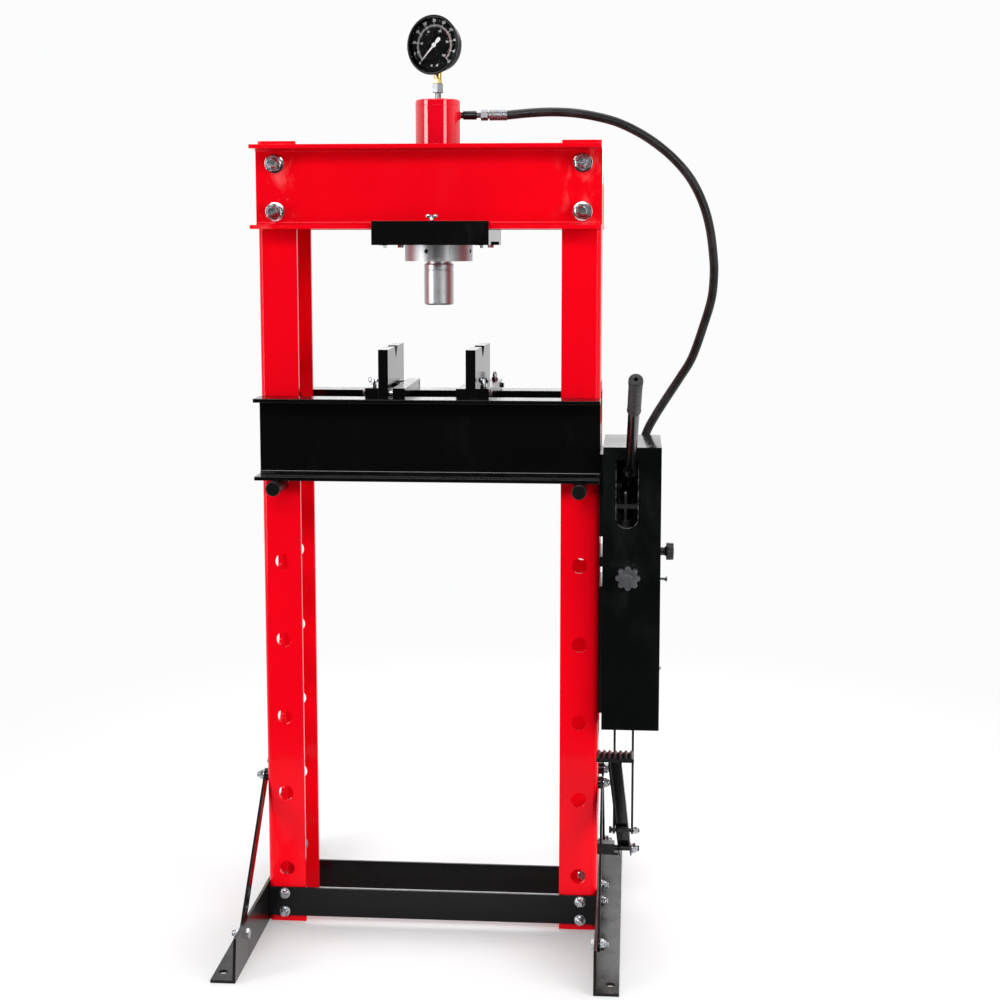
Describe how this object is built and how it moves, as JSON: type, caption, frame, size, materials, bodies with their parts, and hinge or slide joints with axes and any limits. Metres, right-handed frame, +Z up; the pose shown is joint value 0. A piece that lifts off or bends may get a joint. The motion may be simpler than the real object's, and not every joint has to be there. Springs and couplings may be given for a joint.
{
  "type": "hydraulic shop press",
  "caption": "Floor-standing H-frame hydraulic press with a pinned adjustable bed, V-blocks, a sliding gauge-topped cylinder, and a hand and foot pump in a side casing.",
  "frame": {"origin": "on the floor, at the centre of the four anchor holes, midway between the uprights and midway through their depth", "axes": "+X to the pump side, -Y to the operator at the front, +Z up"},
  "size_m": [0.9926, 0.8524, 1.9],
  "materials": {
    "frame_red": "gloss",
    "black_paint": "gloss",
    "zinc_plate": "bright zinc plate",
    "machined_steel": "turned, bright",
    "pull_rod_steel": "black oxide",
    "pump_casting": "satin",
    "tank_paint": "satin",
    "brass": "satin",
    "hose_rubber": "satin",
    "grip_rubber": "matte",
    "gauge_case_paint": "gloss",
    "dial_face": "matte",
    "gauge_glass": "clear",
    "needle_white": "matte",
    "knob_plastic": "satin"
  },
  "bodies": {
    "frame": {"upright_left": "frame_red", "upright_right": "frame_red", "head_beam_front": "frame_red", "head_beam_rear": "frame_red", "head_bolts": "zinc_plate", "head_nuts": "zinc_plate", "brace_front": "black_paint", "brace_rear": "black_paint", "foot_left": "black_paint", "foot_right": "black_paint", "diagonals": "black_paint", "frame_bolts": "zinc_plate", "frame_nuts": "zinc_plate", "casing": "black_paint", "casing_mounts": "black_paint", "casing_screws": "zinc_plate", "pump_body": "pump_casting", "pump_tank": "tank_paint", "pedal_bracket": "black_paint", "hose": "hose_rubber", "hose_end_pump": "zinc_plate"},
    "carriage": {"slide_plate": "black_paint", "slide_hooks": "black_paint", "slide_bolts": "zinc_plate", "cylinder_tube": "frame_red", "cylinder_head": "frame_red", "lock_ring": "machined_steel", "cylinder_port": "black_paint", "hose_end_cylinder": "zinc_plate", "gauge_stem": "zinc_plate", "gauge_adapter": "brass", "gauge_case": "gauge_case_paint", "gauge_dial": "dial_face", "gauge_glass": "gauge_glass", "ram_spring": "machined_steel"},
    "needle": {"gauge_needle": "needle_white"},
    "clamp": {"clamp_screw": "zinc_plate"},
    "ram": {"ram": "machined_steel", "ram_piston": "machined_steel", "ram_cap": "machined_steel"},
    "bed": {"bed_beam_front": "black_paint", "bed_beam_rear": "black_paint", "bed_ties": "black_paint"},
    "pin_left": {"bed_pin_left": "black_paint"},
    "pin_right": {"bed_pin_right": "black_paint"},
    "v_left": {"v_plate_left": "black_paint", "v_bars_left": "black_paint", "v_screws_left": "zinc_plate"},
    "v_right": {"v_plate_right": "black_paint", "v_bars_right": "black_paint", "v_screws_right": "zinc_plate"},
    "lever": {"lever_socket": "black_paint", "lever_tube": "black_paint", "lever_grip": "grip_rubber"},
    "plunger": {"plunger": "machined_steel", "pull_rods": "pull_rod_steel"},
    "pedal": {"pedal_arm": "black_paint", "pedal_tread": "black_paint"},
    "release_valve": {"release_knob": "knob_plastic"},
    "side_valve": {"side_knob": "knob_plastic"}
  },
  "joints": [
    {"name": "carriage_slide", "type": "slide", "parent": "frame", "child": "carriage", "axis": [1, 0, 0], "range_m": [-0.13, 0.13], "deforming": ["hose"]},
    {"name": "needle_turn", "type": "hinge", "parent": "carriage", "child": "needle", "pos_m": [0.012, 0, 1.84], "axis": [0.4067, 0.9135, 0], "range_deg": [0, 270], "stiffness_Nm_per_rad": 0.001, "springref_deg": -28.65},
    {"name": "clamp_turn", "type": "hinge", "parent": "carriage", "child": "clamp", "pos_m": [0.014, -0.139, 1.48], "axis": [0, 0, 1], "range_deg": [-180, 180]},
    {"name": "ram_slide", "type": "slide", "parent": "carriage", "child": "ram", "axis": [0, 0, -1], "range_m": [0, 0.15], "stiffness_N_per_m": 900, "springref_m": -0.15, "deforming": ["ram_spring"]},
    {"name": "bed_lift", "type": "slide", "parent": "frame", "child": "bed", "axis": [0, 0, -1], "range_m": [-0.166, 0]},
    {"name": "pin_left_pull", "type": "slide", "parent": "frame", "child": "pin_left", "axis": [0, -1, 0], "range_m": [0, 0.3]},
    {"name": "pin_right_pull", "type": "slide", "parent": "frame", "child": "pin_right", "axis": [0, -1, 0], "range_m": [0, 0.3]},
    {"name": "v_left_slide", "type": "slide", "parent": "bed", "child": "v_left", "axis": [1, 0, 0], "range_m": [-0.13, 0.03]},
    {"name": "v_right_slide", "type": "slide", "parent": "bed", "child": "v_right", "axis": [1, 0, 0], "range_m": [-0.03, 0.13]},
    {"name": "lever_pump", "type": "hinge", "parent": "frame", "child": "lever", "pos_m": [0.41, -0.04, 0.941], "axis": [1, 0, 0], "range_deg": [0, 45], "stiffness_Nm_per_rad": 10, "springref_deg": -34.38},
    {"name": "plunger_stroke", "type": "slide", "parent": "frame", "child": "plunger", "axis": [0, 0, -1], "range_m": [0, 0.021]},
    {"name": "pedal_press", "type": "hinge", "parent": "frame", "child": "pedal", "pos_m": [0.4075, -0.03, 0.1635], "axis": [1, 0, 0], "range_deg": [0, 14]},
    {"name": "release_turn", "type": "hinge", "parent": "frame", "child": "release_valve", "pos_m": [0.409, -0.14, 0.768], "axis": [0, -1, 0], "range_deg": [0, 180]},
    {"name": "side_turn", "type": "hinge", "parent": "frame", "child": "side_valve", "pos_m": [0.49, -0.06, 0.81], "axis": [1, 0, 0], "range_deg": [0, 180]}
  ],
  "couplings": [
    {"joint": "plunger_stroke", "follows": "lever_pump", "m_per_rad": 0.026},
    {"joint": "pedal_press", "follows": "lever_pump", "ratio": 0.309}
  ]
}
